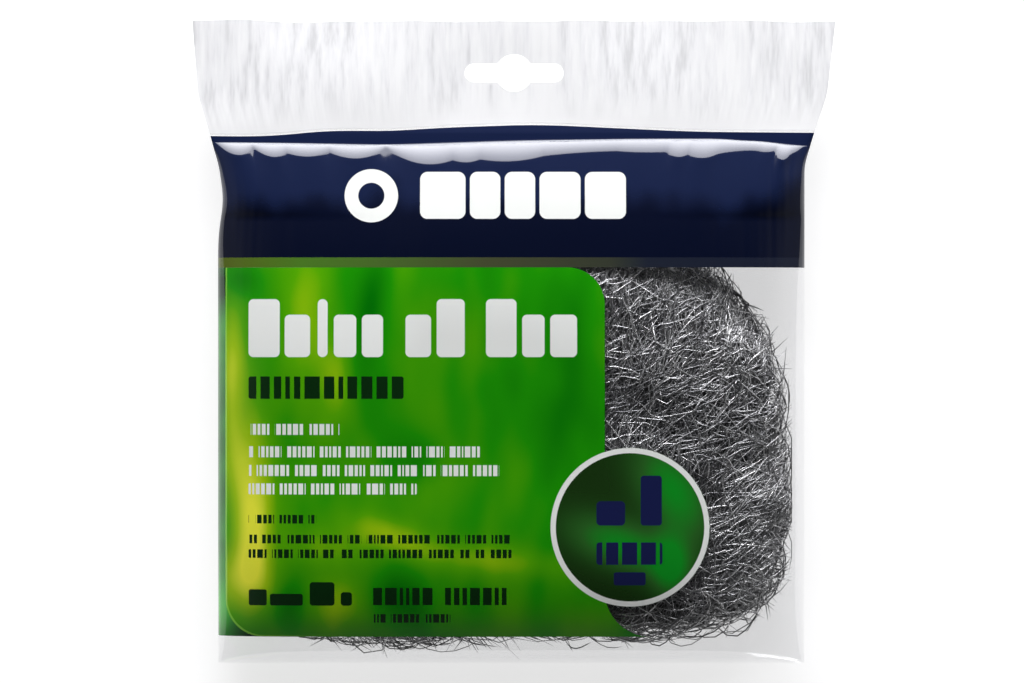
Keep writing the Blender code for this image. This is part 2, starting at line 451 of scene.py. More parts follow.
# %% Group: bar
def make_bar_group():
    """Mask of a rounded box, from its centre, its half sizes and its corner radius, in mm."""
    group, given, result = new_group("rounded bar", [
        ("Place", VECTOR, None), ("Left", FLOAT, 0.0), ("Right", FLOAT, 1.0),
        ("Low", FLOAT, 0.0), ("High", FLOAT, 1.0), ("Corner", FLOAT, 0.2)],
        [("Mask", FLOAT)])
    parts = add_node(group, "SeparateXYZ", (given["Place"],)).outputs
    reaches = []
    for part, low, high in ((parts[0], "Left", "Right"), (parts[1], "Low", "High")):
        centre = maths(group, 'MULTIPLY', maths(group, 'ADD', given[low], given[high]), 0.5)
        half = maths(group, 'MULTIPLY', maths(group, 'SUBTRACT', given[high], given[low]), 0.5)
        off = maths(group, 'ABSOLUTE', maths(group, 'SUBTRACT', part, centre))
        core = maths(group, 'SUBTRACT', half, given["Corner"])
        reaches.append(maths(group, 'MAXIMUM', maths(group, 'SUBTRACT', off, core), 0.0))
    squares = [maths(group, 'MULTIPLY', reach, reach) for reach in reaches]
    length = maths(group, 'SQRT', maths(group, 'ADD', *squares))
    outside = maths(group, 'SUBTRACT', length, given["Corner"])
    wire(group, result.inputs["Mask"], ranged(group, outside, -0.08, 0.08, 1.0, 0.0))
    return group


def make_words_group():
    """Mask that breaks a line into words: 1 on a word, 0 in the gaps, by 1-D Voronoi cells."""
    group, given, result = new_group("word breaks", [
        ("Place", VECTOR, None), ("Line", FLOAT, 0.0), ("Word length", FLOAT, 6.0),
        ("Gap", FLOAT, 0.16)], [("Mask", FLOAT)])
    x = add_node(group, "SeparateXYZ", (given["Place"],)).outputs[0]
    cells = add_node(group, "TexVoronoi", voronoi_dimensions='1D', feature='DISTANCE_TO_EDGE')
    wire(group, cells.inputs["W"], maths(group, 'ADD', maths(
        group, 'DIVIDE', x, given["Word length"]), maths(group, 'MULTIPLY', given["Line"], 7.3)))
    wire(group, cells.inputs["Scale"], 1.0)
    edge = cells.outputs["Distance"]
    wire(group, result.inputs["Mask"],
         maths(group, 'GREATER_THAN', edge, maths(group, 'MULTIPLY', given["Gap"], 0.5)))
    return group


def make_glow_group():
    """A soft tilted ellipse: e to the minus squared distance, in half-sizes along its axes."""
    group, given, result = new_group("soft glow", [
        ("Place", VECTOR, None), ("Centre", VECTOR, (0, 0, 0)), ("Size", VECTOR, (9, 9, 9)),
        ("Turn", FLOAT, 0.0)], [("Light", FLOAT)])
    offset = add_node(group, "VectorMath", (given["Place"], given["Centre"]),
                      operation='SUBTRACT').outputs[0]
    turned = add_node(group, "VectorRotate", {"Vector": offset, "Angle": given["Turn"]},
                      rotation_type='Z_AXIS').outputs[0]
    scaled = add_node(group, "VectorMath", (turned, given["Size"]),
                      operation='DIVIDE').outputs[0]
    flat = add_node(group, "VectorMath", (scaled, (1, 1, 0)), operation='MULTIPLY').outputs[0]
    distance = add_node(group, "VectorMath", (flat,), operation='LENGTH').outputs["Value"]
    fall = maths(group, 'MULTIPLY', maths(group, 'MULTIPLY', distance, distance), -1.0)
    wire(group, result.inputs["Light"], maths(group, 'EXPONENT', fall))
    return group


bar_group = make_bar_group()
words_group = make_words_group()
glow_group = make_glow_group()


def bar(tree, place, left, right, low, high, corner):
    return use_group(tree, bar_group, Place=place, Left=left, Right=right, Low=low, High=high,
                     Corner=corner)["Mask"]


def disc(tree, place, x, y, radius):
    return bar(tree, place, x - radius, x + radius, y - radius, y + radius, radius)


def words(tree, place, line, length, gap=0.16):
    return use_group(tree, words_group, Place=place, Line=line, Word_length=length,
                     Gap=gap)["Mask"]


def fine_line(tree, place, line, left, right, middle, half_height):
    """A line of small print: a thin bar broken into words, and each word into short ticks."""
    text = bar(tree, place, left, right, middle - half_height, middle + half_height, 0.4)
    text = maths(tree, 'MULTIPLY', text, words(tree, place, line, 8.5, 0.2))
    return maths(tree, 'MULTIPLY', text, words(tree, place, line + 9, 1.7, 0.3))


def glow(tree, place, x, y, width, height, turn):
    return use_group(tree, glow_group, Place=place, Centre=(x, y, 0), Size=(width, height, 1),
                     Turn=math.radians(turn))["Light"]


def joined(tree, masks):
    """One mask that holds all the others."""
    total = masks[0]
    for mask in masks[1:]:
        total = maths(tree, 'MAXIMUM', total, mask)
    return total


# %% [markdown]
# ## Inks
#
# The band is navy, lighter above where nothing lies behind it and darker where the wool shows
# through the ink. The label is a bright green field of soft yellow and dark green glows, with
# a darker green ground showing past its left side. All shapes are placed in millimetres.

# %% Printed colours
NAVY_LIGHT = shown(22, 32, 64)
NAVY_DARK = shown(8, 14, 36)
PAPER_WHITE = shown(238, 240, 236)
INK_DARK = shown(10, 44, 14)
INK_NAVY = shown(24, 30, 74)
BAND_LOW = 27.0
STRIP_LOW = 23.8
LABEL_LEFT = -92.9
LABEL_RIGHT = 29.1
LABEL_LOW = -94.9
LABEL_CORNER = 12.0
SWEEP_RADIUS = 15.0
BADGE_X = 37.2
BADGE_Y = -59.6
BADGE_RADIUS = 25.5
BADGE_RING = 1.7
GREENS = [(0.0, shown(16, 58, 14)), (0.22, shown(2, 112, 3)), (0.42, shown(28, 146, 4)),
          (0.6, shown(84, 168, 4)), (0.8, shown(160, 200, 14)), (1.0, shown(238, 240, 62))]


def label_field(tree, place):
    """The label's background: green with yellow glows to the left and dark ones to the right."""
    glows = [  # x, y, half width, half height, turn, strength
        (-91, -12, 4.5, 26, 0, 0.34),
        (-87, -42, 6, 26, 6, 0.30),
        (-83, -62, 6.5, 24, 0, 0.46),
        (-88, -76, 7, 12, 0, 0.34),
        (-91, -60, 3, 14, 0, -0.10),
        (-66, 12, 7, 20, 12, 0.24),
        (-57, -14, 9, 16, -10, 0.24),
        (-60, -66, 13, 7, 0, 0.14),
        (-40, -62, 12, 5, 20, 0.32),
        (-8, -70, 28, 5, 6, 0.20),
        (-57, -84, 9, 8, 30, 0.20),
        (-46, 6, 6, 26, 4, -0.20),
        (-30, -38, 8, 8, 20, -0.16),
        (-38, -82, 9, 8, 30, -0.26),
        (-74, -86, 6, 8, 40, -0.16),
        (16, -24, 13, 46, 0, -0.14),
        (22, -92, 12, 7, 0, 0.12),
        (-88, 20, 6, 6, 0, -0.20),
    ]
    value = ranged(tree, noise(tree, place, 0.045, detail=1.0, stretch=(1.6, 0.7, 1),
                               turn=math.radians(14)), 0.25, 0.75, 0.38, 0.56)
    for x, y, width, height, turn, strength in glows:
        light = glow(tree, place, x, y, width, height, turn)
        value = maths(tree, 'MULTIPLY_ADD', light, strength, value)
    return ramp(tree, value, GREENS)


def ground_field(tree, place):
    """The darker green ground that shows at the label's left side and in its lower corner."""
    value = ranged(tree, noise(tree, place, 0.08, detail=1.0, stretch=(0.3, 1, 1)), 0.3, 0.7,
                   0.30, 0.55)
    for x, y, width, height, strength in ((-95, -86, 6, 10, 0.5), (-80, -95, 9, 7, -0.5),
                                          (-94, 17, 6, 9, -0.45), (-94, 5, 6, 7, 0.25)):
        light = glow(tree, place, x, y, width, height, 0)
        value = maths(tree, 'MULTIPLY_ADD', light, strength, value)
    return ramp(tree, value, [(0.0, shown(12, 58, 20)), (0.45, shown(52, 130, 52)),
                              (1.0, shown(92, 205, 78))])


def strip_field(tree, place):
    """The see-through strip under the band: olive over the label, slate over the wool."""
    x = add_node(tree, "SeparateXYZ", (place,)).outputs[0]
    across = ranged(tree, x, -97.0, 97.0)
    return ramp(tree, across, [(0.0, shown(84, 96, 22)), (0.15, shown(72, 116, 36)),
                               (0.45, shown(66, 72, 46)), (0.66, shown(52, 56, 46)),
                               (0.72, shown(30, 35, 48)), (1.0, shown(24, 29, 48))])


def band_field(tree, place):
    """The navy band: light above, dark and blotchy where the wool lies behind it."""
    y = add_node(tree, "SeparateXYZ", (place,)).outputs[1]
    blotch = noise(tree, place, 0.05, detail=2.0, stretch=(1, 0.45, 1))
    level = maths(tree, 'MULTIPLY_ADD', blotch, 26.0, maths(tree, 'SUBTRACT', y, 13.0))
    return mixed(tree, ranged(tree, level, 41.0, 50.0, smooth=True), NAVY_DARK, NAVY_LIGHT)


def badge_field(tree, place):
    """Dark green inside the round badge, with two brighter glows."""
    lights = [glow(tree, place, BADGE_X + 14, BADGE_Y + 12, 9, 16, -30),
              glow(tree, place, BADGE_X - 2, BADGE_Y - 6, 16, 7, 20),
              glow(tree, place, BADGE_X + 13, BADGE_Y - 12, 6, 10, 0)]
    value = maths(tree, 'ADD', maths(tree, 'ADD', lights[0], lights[1]), lights[2])
    return ramp(tree, value, [(0.0, shown(24, 52, 16)), (0.45, shown(40, 96, 34)),
                              (1.0, shown(14, 142, 32))])


# %% Marks on the label
TEXT_LEFT = -85.3


def block_row(tree, place, blocks, low, corner):
    """A row of rounded blocks, each given as its left side, its right side and its top."""
    return joined(tree, [bar(tree, place, left, right, low, top, corner)
                         for left, right, top in blocks])


def white_marks(tree, place):
    """Plain white shapes: a ring and five blocks on the band, a heading and four fine lines."""
    ring = maths(tree, 'SUBTRACT', disc(tree, place, -45.9, 46.9, 8.6),
                 disc(tree, place, -45.9, 46.9, 4.2))
    band_blocks = [(-30.2, -15.6, 54.6), (-14.2, -4.4, 54.6), (-3.0, 6.8, 54.6),
                   (8.2, 21.4, 54.6), (22.8, 36.0, 54.6)]
    heading = [(-85.3, -75.2, 13.6), (-73.6, -65.4, 8.6), (-63.0, -59.8, 13.6),
               (-57.8, -50.6, 8.6), (-48.8, -42.0, 8.6), (-34.8, -26.6, 8.6),
               (-24.8, -15.8, 13.6), (-9.0, 0.8, 13.6), (2.6, 9.8, 8.6), (11.6, 20.2, 8.6)]
    marks = [ring, block_row(tree, place, band_blocks, 39.4, 2.4),
             block_row(tree, place, heading, -5.0, 1.6)]
    for line, (middle, right) in enumerate(((-28.2, -55.6), (-35.4, -10.8), (-41.4, -3.6),
                                            (-47.3, -31.2))):
        marks.append(fine_line(tree, place, line, TEXT_LEFT, right, middle, 1.75))
    return joined(tree, marks)


def dark_marks(tree, place):
    """Plain dark green shapes: a second heading, three fine lines and two notes at the foot."""
    heading = bar(tree, place, TEXT_LEFT, -35.4, -18.4, -11.2, 0.8)
    heading = maths(tree, 'MULTIPLY', heading, words(tree, place, 40, 4.4, 0.3))
    marks = [heading]
    for line, (middle, right) in enumerate(((-57.0, -63.4), (-63.4, -0.8), (-68.1, -0.8))):
        marks.append(fine_line(tree, place, line + 20, TEXT_LEFT, right, middle, 1.4))
    marks.append(block_row(tree, place, [(-85.3, -79.4, -79.6), (-78.4, -67.8, -81.0)], -84.8,
                           0.7))
    marks.append(block_row(tree, place, [(-65.6, -57.6, -77.2), (-55.6, -52.0, -80.4)], -84.8,
                           1.0))
    for line, left, right in ((50, -45.6, -26.0), (51, -23.0, -1.6)):
        note = bar(tree, place, left, right, -84.6, -79.0, 0.6)
        marks.append(maths(tree, 'MULTIPLY', note, words(tree, place, line, 3.2, 0.3)))
    marks.append(fine_line(tree, place, 31, -45.6, -20.4, -88.9, 1.4))
    return joined(tree, marks)


def badge_marks(tree, place):
    """Plain navy blocks in the badge: a tall one with a small one beside it, and two lines."""
    x, y = BADGE_X, BADGE_Y
    tall = bar(tree, place, x + 3.4, x + 10.2, y + 0.6, y + 16.6, 1.0)
    small = bar(tree, place, x - 10.8, x - 1.6, y + 0.6, y + 8.4, 1.4)
    wide = bar(tree, place, x - 10.8, x + 10.4, y - 12.0, y - 4.8, 1.0)
    wide = maths(tree, 'MULTIPLY', wide, words(tree, place, 60, 5.0, 0.24))
    low = bar(tree, place, x - 5.2, x + 5.0, y - 18.6, y - 14.4, 0.7)
    return joined(tree, [tall, small, wide, low])


# %% Edges of the label
def label_shape(tree, place, inset):
    """Mask of the label: two round corners, a square one, and a foot that sweeps out right."""
    left, low = LABEL_LEFT + inset, LABEL_LOW + inset
    right, top = LABEL_RIGHT - inset, STRIP_LOW
    rounded = bar(tree, place, left, right, low, top, LABEL_CORNER)
    square = bar(tree, place, left, 0.0, -60.0, top, 0.1)
    foot = bar(tree, place, 0.0, right, low, -60.0, 0.1)
    tail = bar(tree, place, right - 1.0, right + SWEEP_RADIUS - 1.0, low, low + SWEEP_RADIUS, 0.1)
    hollow = disc(tree, place, right + SWEEP_RADIUS, low + SWEEP_RADIUS, SWEEP_RADIUS)
    tail = maths(tree, 'SUBTRACT', tail, hollow)
    return joined(tree, [rounded, square, foot, tail])


# %% Group: print layout
def make_print_group():
    """Colour and cover of the print at each place on the web, from its object coordinates."""
    group, given, result = new_group("bag print", [("Object place", VECTOR, None)],
                                     [("Colour", COLOUR), ("Cover", FLOAT)])
    place = add_node(group, "VectorMath", {0: given["Object place"], "Scale": 1000.0},
                     operation='SCALE').outputs[0]
    parts = add_node(group, "SeparateXYZ", (place,)).outputs
    ground = bar(group, place, -99.0, -78.0, LABEL_LOW, STRIP_LOW, 0.1)
    label = label_shape(group, place, 0.0)
    edge = maths(group, 'SUBTRACT', label, label_shape(group, place, 0.45))
    edge = maths(group, 'MULTIPLY', edge, ranged(group, parts[0], -84.0, -60.0, 0.5, 0.0))
    band = maths(group, 'GREATER_THAN', parts[1], BAND_LOW)
    strip = maths(group, 'GREATER_THAN', parts[1], STRIP_LOW)
    badge = disc(group, place, BADGE_X, BADGE_Y, BADGE_RADIUS)
    badge_inside = disc(group, place, BADGE_X, BADGE_Y, BADGE_RADIUS - BADGE_RING)

    colour = mixed(group, label, ground_field(group, place), label_field(group, place))
    colour = mixed(group, edge, colour, shown(170, 240, 90))
    colour = mixed(group, dark_marks(group, place), colour, INK_DARK)
    colour = mixed(group, badge, colour, PAPER_WHITE)
    inside = mixed(group, badge_marks(group, place), badge_field(group, place), INK_NAVY)
    colour = mixed(group, badge_inside, colour, inside)
    colour = mixed(group, strip, colour, strip_field(group, place))
    colour = mixed(group, band, colour, band_field(group, place))
    colour = mixed(group, white_marks(group, place), colour, PAPER_WHITE)
    wire(group, result.inputs["Colour"], colour)
    wire(group, result.inputs["Cover"], joined(group, [ground, label, strip, badge]))
    return group


print_group = make_print_group()

# %% [markdown]
# ## Film
#
# Clear film hides nothing head on, mirrors a little, and mirrors more where it turns away. A
# Transparent shader mixed with a Glossy one by the facing angle does that without bending
# light, which suits film thinner than a hair. Where ink covers the film, a Principled shader
# takes over, with the same smooth gloss.

# %% Film materials
def gloss_share(tree, facing, head_on=0.04):
    """What film mirrors: a little head on, rising with the fifth power of the facing value."""
    fifth = maths(tree, 'POWER', facing, 5.0)
    return maths(tree, 'MULTIPLY_ADD', fifth, 0.9, head_on)


def clear_shader(tree, tint, haze, roughness):
    """Transparent film that mirrors by angle and scatters a share of the light as haze."""
    facing = add_node(tree, "LayerWeight", {"Blend": 0.5}).outputs["Facing"]
    through = add_node(tree, "BsdfTransparent", {"Color": tint}).outputs[0]
    scatter = add_node(tree, "BsdfDiffuse", {"Color": (0.9, 0.91, 0.92, 1)}).outputs[0]
    mirror = add_node(tree, "BsdfGlossy", {"Color": (1, 1, 1, 1), "Roughness": roughness})
    hazy = add_node(tree, "MixShader", (haze, through, scatter)).outputs[0]
    return add_node(tree, "MixShader", (gloss_share(tree, facing), hazy, mirror.outputs[0]))


FILM_IOR = 1.58


def front_film_material():
    material, tree, output = new_material("printed_film")
    place = add_node(tree, "TexCoord").outputs["Object"]
    layout = use_group(tree, print_group, Object_place=place)
    clear = clear_shader(tree, (0.98, 0.98, 0.982, 1), 0.003, 0.05)
    fine = noise(tree, place, 900.0, detail=3.0)
    bump = add_node(tree, "Bump", {"Height": fine, "Strength": 0.05, "Distance": 0.0001})
    ink = add_node(tree, "BsdfPrincipled", {
        "Base Color": layout["Colour"], "Normal": bump.outputs[0], "IOR": FILM_IOR,
        "Roughness": ranged(tree, noise(tree, place, 260.0), 0.3, 0.7, 0.05, 0.10)})
    cover = add_node(tree, "MixShader", (layout["Cover"], clear.outputs[0], ink.outputs[0]))
    wire(tree, output.inputs["Surface"], cover.outputs[0])
    return material


def back_film_material():
    material, tree, output = new_material("clear_film")
    clear = clear_shader(tree, (0.98, 0.98, 0.982, 1), 0.01, 0.10)
    wire(tree, output.inputs["Surface"], clear.outputs[0])
    return material


film_front = front_film_material()
film_back = back_film_material()

# %% [markdown]
# ## Front and back webs
#
# Each web is one grid of points over the plan, given its height by the functions above.
# Solidify turns the sheet into film with a real thickness, inwards, so the outside stays put.

# %% Front and back webs
FILM_THICKNESS = 0.08 * MM


def settle(piece):
    """Apply the modifiers, then keep the cut edges of the film out of the smooth shading."""
    depsgraph = bpy.context.evaluated_depsgraph_get()
    finished = bpy.data.meshes.new_from_object(piece.evaluated_get(depsgraph))
    piece.modifiers.clear()
    piece.data = finished
    finished.set_sharp_from_angle(angle=math.radians(70))
    return piece


def thicken(piece):
    """Give a sheet its thickness, inwards, with walls along its cut edges."""
    solidify = piece.modifiers.new("film thickness", 'SOLIDIFY')
    solidify.thickness = FILM_THICKNESS
    solidify.offset = -1.0
    return settle(piece)


def make_web(name, columns, rows, height, material, faces_down):
    across, x, y = web_grid(columns, rows)
    z = height(across, x, y)
    faces = grid_faces(rows, columns)
    if faces_down:
        faces = faces[:, ::-1]
    points = np.stack([x, y, z], axis=-1).reshape(-1, 3)
    return thicken(new_piece(name, points, faces, material))


bag_front = make_web("bag_front", 255, 190, front_height, film_front, False)
bag_back = make_web("bag_back", 106, 96, back_height, film_back, True)
print("front web triangles:", triangle_count(bag_front))
print("back web triangles:", triangle_count(bag_back))

# %% [markdown]
# ## The ribbed header
#
# Heated jaws with upright teeth weld the two webs above the seal, and leave fine ribs that
# turn the clear film milky. The ribs are real geometry: uneven ridges across the width that
# fade towards the seal. The slot is cut with a Boolean, after the film has its thickness.

# %% Header material
def header_material():
    """Milky film, streaked with painted rib light and shade; streaks and milk fade out at the
    seal.
    """
    material, tree, output = new_material("ribbed_film")
    place = add_node(tree, "TexCoord").outputs["Object"]
    rise = add_node(tree, "Attribute", attribute_name="rise").outputs["Fac"]
    streak = noise(tree, place, 330.0, detail=3.0, roughness=0.65, stretch=(1, 0.03, 1))
    broad = noise(tree, place, 45.0, detail=1.0, stretch=(1, 0.2, 1))
    level = maths(tree, 'MULTIPLY_ADD', broad, 0.35, maths(tree, 'MULTIPLY', streak, 0.65))
    # The streaks are painted light and shade of the ribs, laid over the film's milky white.
    ribbed = ramp(tree, level, [(0.36, (0.70, 0.70, 0.71, 1)), (0.48, (0.88, 0.88, 0.89, 1)),
                                (0.60, (0.96, 0.96, 0.96, 1))])
    faded = ranged(tree, rise, 2.0 * MM, 14.0 * MM)
    colour = mixed(tree, faded, (0.92, 0.92, 0.92, 1), ribbed)
    bump = add_node(tree, "Bump", {"Height": streak, "Strength": 0.15, "Distance": 0.0002})
    milk = add_node(tree, "BsdfPrincipled", {
        "Base Color": colour, "Roughness": 0.4, "Normal": bump.outputs[0],
        "Alpha": ranged(tree, rise, 0.3 * MM, 1.0 * MM, 0.15, 0.9)})
    wire(tree, output.inputs["Surface"], milk.outputs[0])
    return material


# %% Header shape
SLOT_HALF_WIDTH = 16.0 * MM
SLOT_HALF_HEIGHT = 3.05 * MM
SLOT_HOLE_RADIUS = 6.1 * MM
SLOT_CENTRE_Y = 86.8 * MM


def slot_outline():
    """The slot's edge, anticlockwise: round-ended arms each side of a round hole."""
    reach = SLOT_HALF_WIDTH - SLOT_HALF_HEIGHT
    meet = math.asin(SLOT_HALF_HEIGHT / SLOT_HOLE_RADIUS)
    quarter = math.pi / 2
    arcs = [(reach, SLOT_HALF_HEIGHT, -quarter, quarter),
            (0.0, SLOT_HOLE_RADIUS, meet, math.pi - meet),
            (-reach, SLOT_HALF_HEIGHT, quarter, 3 * quarter),
            (0.0, SLOT_HOLE_RADIUS, math.pi + meet, 2 * math.pi - meet)]
    points = []
    for centre, radius, start, end in arcs:
        angle = np.linspace(start, end, 17)
        points.append(np.stack([centre + radius * np.cos(angle), radius * np.sin(angle)], -1))
    return np.concatenate(points) + (0.0, SLOT_CENTRE_Y)


def make_header(material):
    columns, rows = 601, 14
    rise, across = np.meshgrid(np.linspace(0, 1, rows), np.linspace(-1, 1, columns),
                               indexing='ij')
    foot = seal_line(across * SEAL_HALF)
    edge = TOP_Y - 0.5 * MM * (0.5 + 0.5 * swell(across * 0.1, across * 0, 30 * MM, 11))
    y = foot + (edge - foot) * rise
    x = plan(across, y)
    ribs = 0.7 * ridges(across * 0.104, 2.4 * MM, 12) + 0.5 * ridges(across * 0.104, 1.3 * MM, 13)
    fade = np.clip(rise / 0.25, 0, 1)
    z = edge_height(y) + 0.16 * MM * ribs * fade + 0.5 * MM * swell(x, y, 60 * MM, 14) * rise
    points = np.stack([x, y, z], axis=-1).reshape(-1, 3)
    piece = new_piece("bag_header", points, grid_faces(rows, columns), material)
    attribute = piece.data.attributes.new("rise", 'FLOAT', 'POINT')
    attribute.data.foreach_set("value", (y - foot).ravel().astype(np.float32))
    return thicken(piece)


def cut_slot(piece):
    """Cut the slot through the header and keep the result as plain mesh."""
    outline = slot_outline()
    count = len(outline)
    points = np.concatenate([np.column_stack([outline, np.full(count, height)])
                             for height in (0.0, BAG_THICKNESS)])
    here = np.arange(count)
    after = np.roll(here, -1)
    walls = np.stack([here, after, after + count, here + count], axis=-1).tolist()
    caps = [here[::-1].tolist(), (here + count).tolist()]
    cutter_mesh = bpy.data.meshes.new("slot_cutter")
    cutter_mesh.from_pydata(points.tolist(), [], walls + caps)
    cutter = bpy.data.objects.new("slot_cutter", cutter_mesh)
    bpy.context.scene.collection.objects.link(cutter)
    hole = piece.modifiers.new("slot", 'BOOLEAN')
    hole.operation = 'DIFFERENCE'
    hole.object = cutter
    settle(piece)
    bpy.data.objects.remove(cutter)
    return piece


bag_header = cut_slot(make_header(header_material()))
print("header triangles:", triangle_count(bag_header))

# %% [markdown]
# ## The pad's form
#
# The pad is a flat pillow of wool with a rounded top and squarer foot. Two coordinates say
# where a strand is: its place in plan, and its layer from -1 at the back to 1 at the front.
# One function turns plan and layer into height, so that every strand lies inside the pillow,
# and the pillow thins to nothing at its outline.

# %% Pad form
PAD_CENTRE = np.array([(pad_low.x + pad_high.x) / 2, (pad_low.y + pad_high.y) / 2])
PAD_HALF = np.array([(pad_high.x - pad_low.x) / 2, (pad_high.y - pad_low.y) / 2])
PAD_EDGE_Z = 11.0 * MM
PAD_TOP_CORNERS = 2.0
PAD_FOOT_CORNERS = 5.0


def pad_radius(x, y):
    """Distance from the pad's middle in plan, 1 on its outline: a superellipse."""
    u = np.abs(x - PAD_CENTRE[0]) / PAD_HALF[0]
    v = (y - PAD_CENTRE[1]) / PAD_HALF[1]
    power = np.where(v > 0, PAD_TOP_CORNERS, PAD_FOOT_CORNERS)
    uneven = 1 + 0.018 * swell(x, y, 26 * MM, 22)
    return (u ** power + np.abs(v) ** power + 1e-9) ** (1 / power) * uneven


def pad_height(x, y, layer):
    """Height of a layer: the edge height, plus the layer's share of the pillow above or below."""
    fullness = np.sqrt(np.clip(1 - pad_radius(x, y) ** 5, 0, 1))
    hollows = 0.08 * (swell(x, y, 24 * MM, 21) - 1)
    above = (pad_high.z - PAD_EDGE_Z) * (0.97 + 0.6 * hollows)
    below = PAD_EDGE_Z - pad_low.z
    return PAD_EDGE_Z + layer * fullness * np.where(layer > 0, above, below)


# %% Steel materials
def shade_core_material():
    """Painted shade for the wool's heart: near black, streaked with dull steel."""
    material, tree, output = new_material("wool_shade_core")
    place = add_node(tree, "TexCoord").outputs["Object"]
    streaks = noise(tree, place, 900.0, detail=4.0, stretch=(1, 0.25, 1), turn=0.7)
    crossed = noise(tree, place, 700.0, detail=4.0, stretch=(0.25, 1, 1), turn=0.4)
    level = maths(tree, 'MULTIPLY', streaks, crossed)
    colour = ramp(tree, level, [(0.25, (0.002, 0.002, 0.002, 1)), (0.5, (0.03, 0.03, 0.032, 1))])
    bump = add_node(tree, "Bump", {"Height": level, "Strength": 0.8, "Distance": 0.0006})
    steel = add_node(tree, "BsdfPrincipled", {
        "Base Color": colour, "Metallic": 0.6, "Roughness": 0.5, "Normal": bump.outputs[0]})
    wire(tree, output.inputs["Surface"], steel.outputs[0])
    return material


def strand_material():
    """Bright drawn steel: each strand's own tone times painted depth shade, a little uneven along
    it.
    """
    material, tree, output = new_material("steel_strand")
    place = add_node(tree, "TexCoord").outputs["Object"]
    tone_and_depth_shade = add_node(tree, "Attribute", attribute_name="tone_and_depth_shade").outputs["Fac"]
    uneven = ranged(tree, noise(tree, place, 700.0, detail=2.0), 0.3, 0.7, -0.15, 0.15)
    level = maths(tree, 'ADD', tone_and_depth_shade, uneven)
    colour = ramp(tree, level, [(0.0, (0.03, 0.03, 0.032, 1)), (0.35, (0.34, 0.34, 0.35, 1)),
                                (1.0, (1.0, 1.0, 1.0, 1))])
    steel = add_node(tree, "BsdfPrincipled", {
        "Base Color": colour, "Metallic": 0.8, "Roughness": ranged(tree, level, 0, 1, 0.36, 0.22)})
    wire(tree, output.inputs["Surface"], steel.outputs[0])
    return material


# %% Pad core
def make_core(material):
    """A closed lumpy pillow a little inside the strands: rings from the outline to two poles."""
    spokes, rings = 200, 44
    angle = np.linspace(0, 2 * math.pi, spokes, endpoint=False)
    power = np.where(np.sin(angle) > 0, PAD_TOP_CORNERS, PAD_FOOT_CORNERS)
    out_x = np.sign(np.cos(angle)) * np.abs(np.cos(angle)) ** (2 / power) * PAD_HALF[0]
    out_y = np.sign(np.sin(angle)) * np.abs(np.sin(angle)) ** (2 / power) * PAD_HALF[1]
    turn = np.linspace(0, math.pi, rings + 2)[1:-1]
    radius = 0.95 * np.sin(turn)[:, None] ** 0.5
    radius = radius * (1 + 0.015 * swell(out_x, out_y, 12 * MM, 24))
    layer = np.cos(turn)[:, None]
    layer = np.sign(layer) * np.minimum(0.80, np.abs(layer) * 2.2)
    x = PAD_CENTRE[0] + radius * out_x
    y = PAD_CENTRE[1] + radius * out_y
    z = pad_height(x, y, np.broadcast_to(layer, x.shape))
    z = z + 0.5 * MM * swell(x, y, 7 * MM, 23) * np.clip((0.92 - radius) / 0.06, 0, 1)
    points = np.stack([x, y, z], axis=-1).reshape(-1, 3)
    poles = [[*PAD_CENTRE, z[0].mean()], [*PAD_CENTRE, z[-1].mean()]]
    index = np.arange(rings * spokes).reshape(rings, spokes)
    after = np.roll(index, -1, axis=1)
    lower = np.stack([index[:-1], index[1:], after[1:]], axis=-1).reshape(-1, 3)
    upper = np.stack([index[:-1], after[1:], after[:-1]], axis=-1).reshape(-1, 3)
    top = np.stack([np.full(spokes, len(points)), index[0], after[0]], axis=-1)
    base = np.stack([np.full(spokes, len(points) + 1), after[-1], index[-1]], axis=-1)
    faces = np.concatenate([lower, upper, top, base])
    return new_piece("wool_shade_core", np.concatenate([points, poles]), faces, material)


# The core's near-black colour is painted shade: the dark depth among the strands.
pad_shade_core = make_core(shade_core_material())
print("core triangles:", triangle_count(pad_shade_core))

# %% [markdown]
# ## Strands
#
# Steel wool is shaved from wire, so its strands are stiff, bright and wavy, and each keeps a
# direction for a while before it turns under its neighbours. Hair particles could lie on a
# surface, but they would not weave. Here every strand is a path of a few points, worked out
# for thousands of strands at once: its heading follows a slow flow over the pad, its bend and
# waver are its own, and its layer rises and falls so that it passes over and under others. A
# three-sided tube with tapered ends is carried along each path, 42 triangles to a strand.

# %% Strand paths
STEPS = 7
SIDES = 3
BAG_INNER_X = 90.5 * MM


def flow(x, y):
    """Slow direction of the wool over the pad, in radians from +X."""
    return 0.95 + 0.8 * swell(x, y, 75 * MM, 31)


